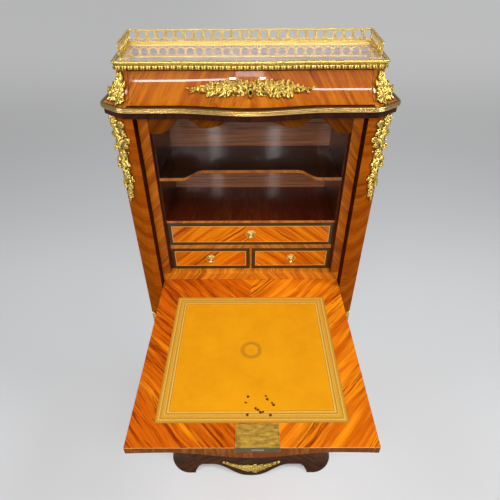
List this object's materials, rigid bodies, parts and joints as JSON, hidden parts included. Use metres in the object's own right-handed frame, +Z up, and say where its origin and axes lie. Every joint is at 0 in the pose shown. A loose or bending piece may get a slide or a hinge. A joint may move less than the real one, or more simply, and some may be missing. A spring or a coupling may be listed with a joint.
{
  "type": "fall-front secretaire chest",
  "caption": "Tall fall-front secretaire chest with a fitted interior, a drawer in its hollow frieze, long drawers below, a serpentine front, gilt mounts and a galleried marble top.",
  "frame": {"origin": "on the floor, under the middle of the chest's bounding box with its fall open", "axes": "+Z up, +Y towards the wall behind it, so that the fall opens towards -Y; +X to the right of someone who faces it"},
  "size_m": [0.62, 0.64, 1.473],
  "materials": {
    "veneer": "quarter-matched orange-red veneer under a hard glossy polish",
    "dark_wood": "dark red-brown wood, polished",
    "carcass_wood": "plain brown wood, satin",
    "gilt_brass": "gilt, cast and burnished",
    "marble": "polished pinkish-white marble",
    "leather": "amber leather with gold-tooled bands",
    "steel": "plain steel"
  },
  "bodies": {
    "case": {"side_panel_left": "veneer", "side_panel_right": "veneer", "back_panel": "carcass_wood", "front_post_left": "veneer", "front_post_right": "veneer", "bottom_board": "carcass_wood", "dust_boards": "carcass_wood", "waist_rail": "veneer", "sub_top": "veneer", "plinth_front": "dark_wood", "plinth_sides": "dark_wood", "front_feet": "dark_wood", "frieze_ends": "veneer", "frieze_top_board": "carcass_wood", "cornice_moulding": "gilt_brass", "top_rim": "gilt_brass", "stone_top": "marble", "gallery_back": "gilt_brass", "gallery_sides": "gilt_brass", "inner_posts": "veneer", "inner_sill": "veneer", "inner_apron": "veneer", "cabin_floor": "dark_wood", "cabin_linings": "dark_wood", "shaped_shelf": "dark_wood", "unit_top": "dark_wood", "unit_rail": "dark_wood", "unit_division": "dark_wood", "pivot_bushes": "gilt_brass", "post_mounts": "gilt_brass", "waist_mounts": "gilt_brass", "frieze_corner_mounts": "gilt_brass", "plinth_mount": "gilt_brass"},
    "fall": {"fall_panel": "veneer", "fall_leather": "leather", "fall_lock": "gilt_brass", "fall_pivots": "gilt_brass", "fall_escutcheon": "gilt_brass"},
    "fall_bolt": {"fall_bolt": "steel"},
    "frieze_drawer": {"frieze_drawer_front": "veneer", "frieze_drawer_box": "carcass_wood", "frieze_drawer_mount": "gilt_brass"},
    "wide_drawer": {"wide_drawer_front": "veneer", "wide_drawer_box": "carcass_wood", "wide_drawer_knob": "gilt_brass"},
    "small_drawer_left": {"small_drawer_left_front": "veneer", "small_drawer_left_box": "carcass_wood", "small_drawer_left_knob": "gilt_brass"},
    "small_drawer_right": {"small_drawer_right_front": "veneer", "small_drawer_right_box": "carcass_wood", "small_drawer_right_knob": "gilt_brass"},
    "lower_drawer_1": {"lower_drawer_1_front": "veneer", "lower_drawer_1_box": "carcass_wood", "lower_drawer_1_mount": "gilt_brass"},
    "lower_drawer_2": {"lower_drawer_2_front": "veneer", "lower_drawer_2_box": "carcass_wood", "lower_drawer_2_mount": "gilt_brass"},
    "lower_drawer_3": {"lower_drawer_3_front": "veneer", "lower_drawer_3_box": "carcass_wood", "lower_drawer_3_mount": "gilt_brass"}
  },
  "joints": [
    {"name": "fall_hinge", "type": "hinge", "parent": "case", "child": "fall", "pos_m": [0, 0.118, 0.914], "axis": [1, 0, 0], "range_deg": [-90, 0]},
    {"name": "fall_bolt_slide", "type": "slide", "parent": "fall", "child": "fall_bolt", "axis": [0, -1, 0], "range_m": [0, 0.009]},
    {"name": "frieze_drawer_slide", "type": "slide", "parent": "case", "child": "frieze_drawer", "axis": [0, -1, 0], "range_m": [0, 0.115]},
    {"name": "wide_drawer_slide", "type": "slide", "parent": "case", "child": "wide_drawer", "axis": [0, -1, 0], "range_m": [0, 0.12]},
    {"name": "small_drawer_left_slide", "type": "slide", "parent": "case", "child": "small_drawer_left", "axis": [0, -1, 0], "range_m": [0, 0.12]},
    {"name": "small_drawer_right_slide", "type": "slide", "parent": "case", "child": "small_drawer_right", "axis": [0, -1, 0], "range_m": [0, 0.12]},
    {"name": "lower_drawer_1_slide", "type": "slide", "parent": "case", "child": "lower_drawer_1", "axis": [0, -1, 0], "range_m": [0, 0.145]},
    {"name": "lower_drawer_2_slide", "type": "slide", "parent": "case", "child": "lower_drawer_2", "axis": [0, -1, 0], "range_m": [0, 0.145]},
    {"name": "lower_drawer_3_slide", "type": "slide", "parent": "case", "child": "lower_drawer_3", "axis": [0, -1, 0], "range_m": [0, 0.145]}
  ]
}
